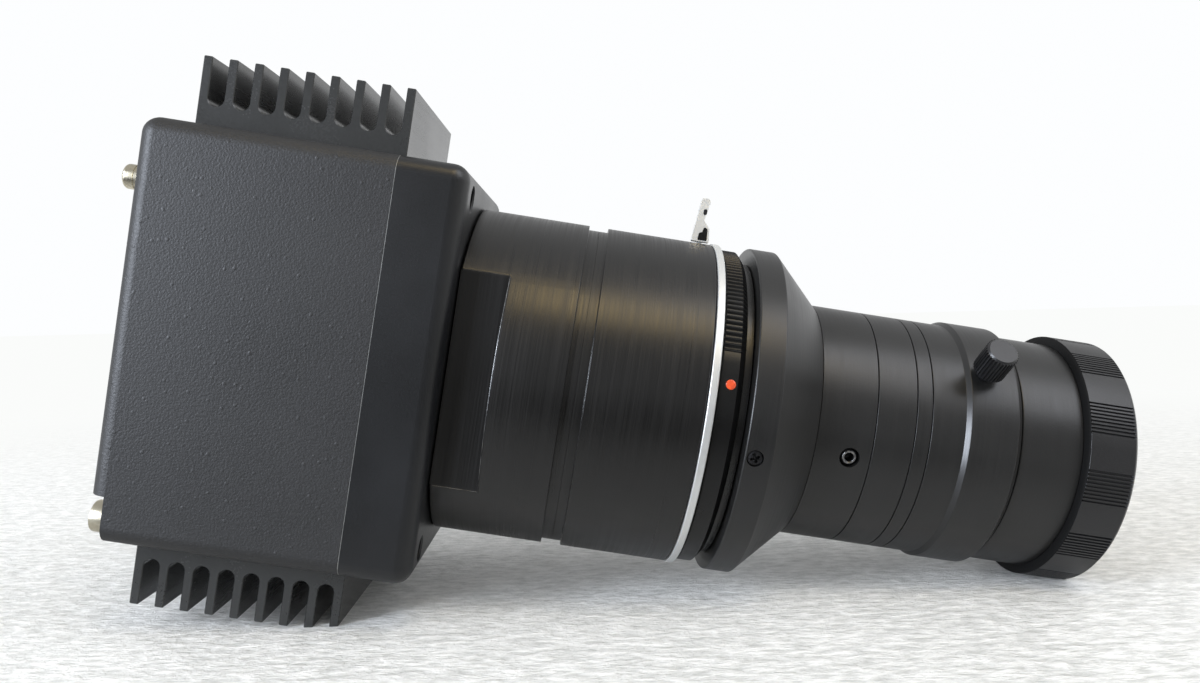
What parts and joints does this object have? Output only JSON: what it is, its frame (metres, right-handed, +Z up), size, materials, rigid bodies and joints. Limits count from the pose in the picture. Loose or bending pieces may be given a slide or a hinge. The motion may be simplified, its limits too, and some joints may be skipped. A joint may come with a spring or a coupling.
{
  "type": "industrial line-scan camera with macro lens",
  "caption": "Box camera with finned coolers above and below, a tube with a sprung bayonet release, and a focusing macro lens with a lock screw.",
  "frame": {"origin": "centre of the bounding box in plan, at the lower cooler's fin tips", "axes": "+X along the optical axis towards the lens, +Z up, the side with the flange screw and set screw towards -Y"},
  "size_m": [0.182, 0.0636, 0.0968],
  "materials": {
    "housing_anodised": "bead-blasted black anodising",
    "plate_anodised": "satin black anodising",
    "cooler_anodised": "matt black anodising",
    "tube_anodised": "turned, satin black anodising",
    "lens_anodised": "turned, semi-gloss black anodising",
    "grip_anodised": "knurled, black anodising",
    "chrome": "bright chrome plating",
    "nickel": "nickel plating",
    "screw_steel": "blackened steel",
    "glass": "polished, coated",
    "circuit_board": "green solder resist",
    "ceramic": "dark ceramic package",
    "black_plastic": "moulded",
    "lamp_plastic": "clear moulded"
  },
  "bodies": {
    "camera_body": {"rear_housing": "housing_anodised", "front_plate": "plate_anodised", "upper_cooler": "cooler_anodised", "lower_cooler": "cooler_anodised", "upper_cooler_screw_near": "screw_steel", "upper_cooler_screw_far": "screw_steel", "lower_cooler_screw_near": "screw_steel", "lower_cooler_screw_far": "screw_steel", "plate_screw_1": "screw_steel", "plate_screw_2": "screw_steel", "plate_screw_3": "screw_steel", "plate_screw_4": "screw_steel", "rear_screw_near": "nickel", "rear_screw_far": "nickel", "sensor_window": "glass", "image_sensor": "ceramic", "sensor_board": "circuit_board", "processing_board": "circuit_board", "interface_board": "circuit_board", "board_post_1": "screw_steel", "board_post_2": "screw_steel", "board_post_3": "screw_steel", "board_post_4": "screw_steel", "front_board_link": "black_plastic", "rear_board_link": "black_plastic", "data_socket": "nickel", "jackpost_near": "nickel", "jackpost_far": "nickel", "power_socket": "nickel", "power_socket_nut": "nickel", "status_lamp": "lamp_plastic", "rear_tube": "tube_anodised", "front_tube": "tube_anodised", "mount_ring": "chrome", "lever_spring": "screw_steel", "adapter_ring": "grip_anodised", "spacer_ring": "grip_anodised", "lens_flange": "lens_anodised", "flange_screw_1": "screw_steel", "flange_screw_2": "screw_steel", "flange_screw_3": "screw_steel", "rear_barrel": "lens_anodised", "set_screw_1": "screw_steel", "set_screw_2": "screw_steel", "set_screw_3": "screw_steel", "barrel_ring_one": "lens_anodised", "barrel_ring_two": "lens_anodised", "focus_collar": "lens_anodised"},
    "release": {"release_lever": "chrome", "lock_pin": "screw_steel"},
    "lock_screw": {"thumbscrew": "grip_anodised"},
    "focus_carriage": {"lens_cell": "lens_anodised", "rear_element": "glass", "inner_element": "glass", "front_element": "glass", "rear_retaining_ring": "lens_anodised", "front_retaining_ring": "lens_anodised"},
    "focus_barrel": {"front_barrel": "lens_anodised", "front_ring": "grip_anodised"}
  },
  "joints": [
    {"name": "release_slide", "type": "slide", "parent": "camera_body", "child": "release", "axis": [-1, 0, 0], "range_m": [0, 0.0018], "stiffness_N_per_m": 800, "springref_m": -0.001, "deforming": ["lever_spring"]},
    {"name": "thumbscrew_turn", "type": "hinge", "parent": "camera_body", "child": "lock_screw", "pos_m": [0.0634, 0, 0.0484], "axis": [0, -0.7826, 0.6225], "range_deg": [0, 360]},
    {"name": "focus_slide", "type": "slide", "parent": "camera_body", "child": "focus_carriage", "axis": [1, 0, 0], "range_m": [0, 0.004]},
    {"name": "focus_turn", "type": "hinge", "parent": "focus_carriage", "child": "focus_barrel", "pos_m": [0.08, 0, 0.0484], "axis": [1, 0, 0], "range_deg": [0, 180]}
  ],
  "couplings": [
    {"joint": "focus_turn", "follows": "focus_slide", "rad_per_m": 785.39}
  ]
}
